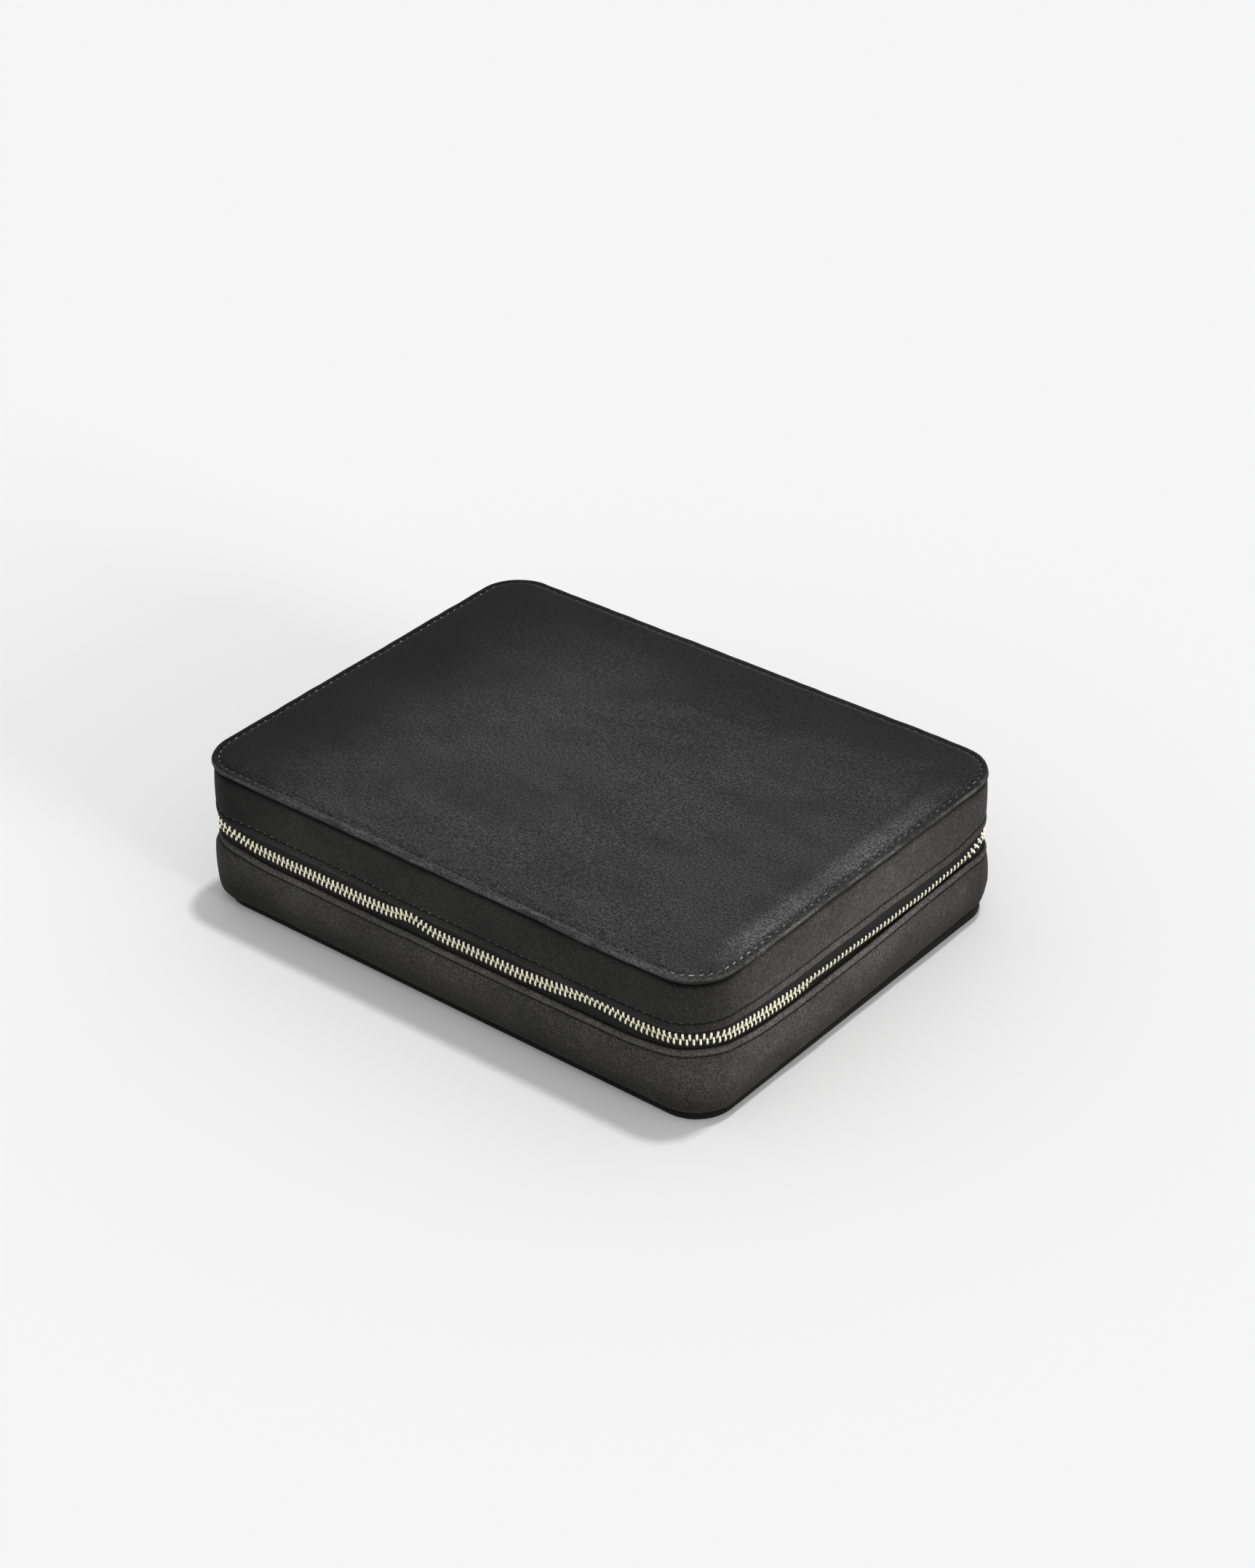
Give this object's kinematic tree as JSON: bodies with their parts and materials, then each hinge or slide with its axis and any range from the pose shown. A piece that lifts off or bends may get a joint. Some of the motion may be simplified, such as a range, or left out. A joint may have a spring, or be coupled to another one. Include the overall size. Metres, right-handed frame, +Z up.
{
  "type": "jewellery case",
  "caption": "Zip-around box case for jewellery: napped black cover on stiff boards, cloth back hinge, metal zip, lined inside with ring rolls, divided trays and a lid mirror.",
  "frame": {"origin": "centre of the base's resting face", "axes": "+X along the long side, +Y towards the hinge at the back, +Z up"},
  "size_m": [0.2681, 0.197, 0.0663],
  "materials": {
    "cover_cloth": "napped",
    "board": "matte",
    "lining_velvet": "velvet",
    "foam": "matte foam",
    "zip_tape": "woven",
    "zip_metal": "satin pale gold",
    "mirror": "polished"
  },
  "bodies": {
    "base": {"base_panel": "cover_cloth", "base_floor_board": "board", "base_band": "cover_cloth", "base_wall_board": "board", "base_wall_lining": "lining_velvet", "base_floor_lining": "lining_velvet", "spine_lower_leaf": "cover_cloth", "zip_tape_lower": "zip_tape", "zip_teeth_lower": "zip_metal", "zip_stops_lower": "zip_metal", "ring_rolls": "lining_velvet", "ring_bay_wall": "lining_velvet", "long_divider": "lining_velvet", "cross_dividers": "lining_velvet"},
    "lid": {"lid_panel": "cover_cloth", "lid_padding": "foam", "lid_board": "board", "lid_band": "cover_cloth", "lid_wall_board": "board", "lid_wall_lining": "lining_velvet", "lid_ceiling_lining": "lining_velvet", "spine_upper_leaf": "cover_cloth", "zip_tape_upper": "zip_tape", "zip_teeth_upper": "zip_metal", "zip_stops_upper": "zip_metal", "mirror_glass": "mirror", "mirror_frame": "lining_velvet"},
    "slider": {"zip_slider": "zip_metal"},
    "pull": {"zip_pull": "zip_metal"}
  },
  "joints": [
    {"name": "lid_hinge", "type": "hinge", "parent": "base", "child": "lid", "pos_m": [0, 0.0977, 0.0344], "axis": [-1, 0, 0], "range_deg": [0, 175]},
    {"name": "slider_travel", "type": "slide", "parent": "base", "child": "slider", "axis": [0, -1, 0], "range_m": [0, 0.138], "deforming": ["zip_teeth_lower", "zip_teeth_upper"]},
    {"name": "pull_swing", "type": "hinge", "parent": "slider", "child": "pull", "pos_m": [-0.13445, 0.066, 0.0344], "axis": [0, 1, 0], "range_deg": [0, 170]}
  ]
}
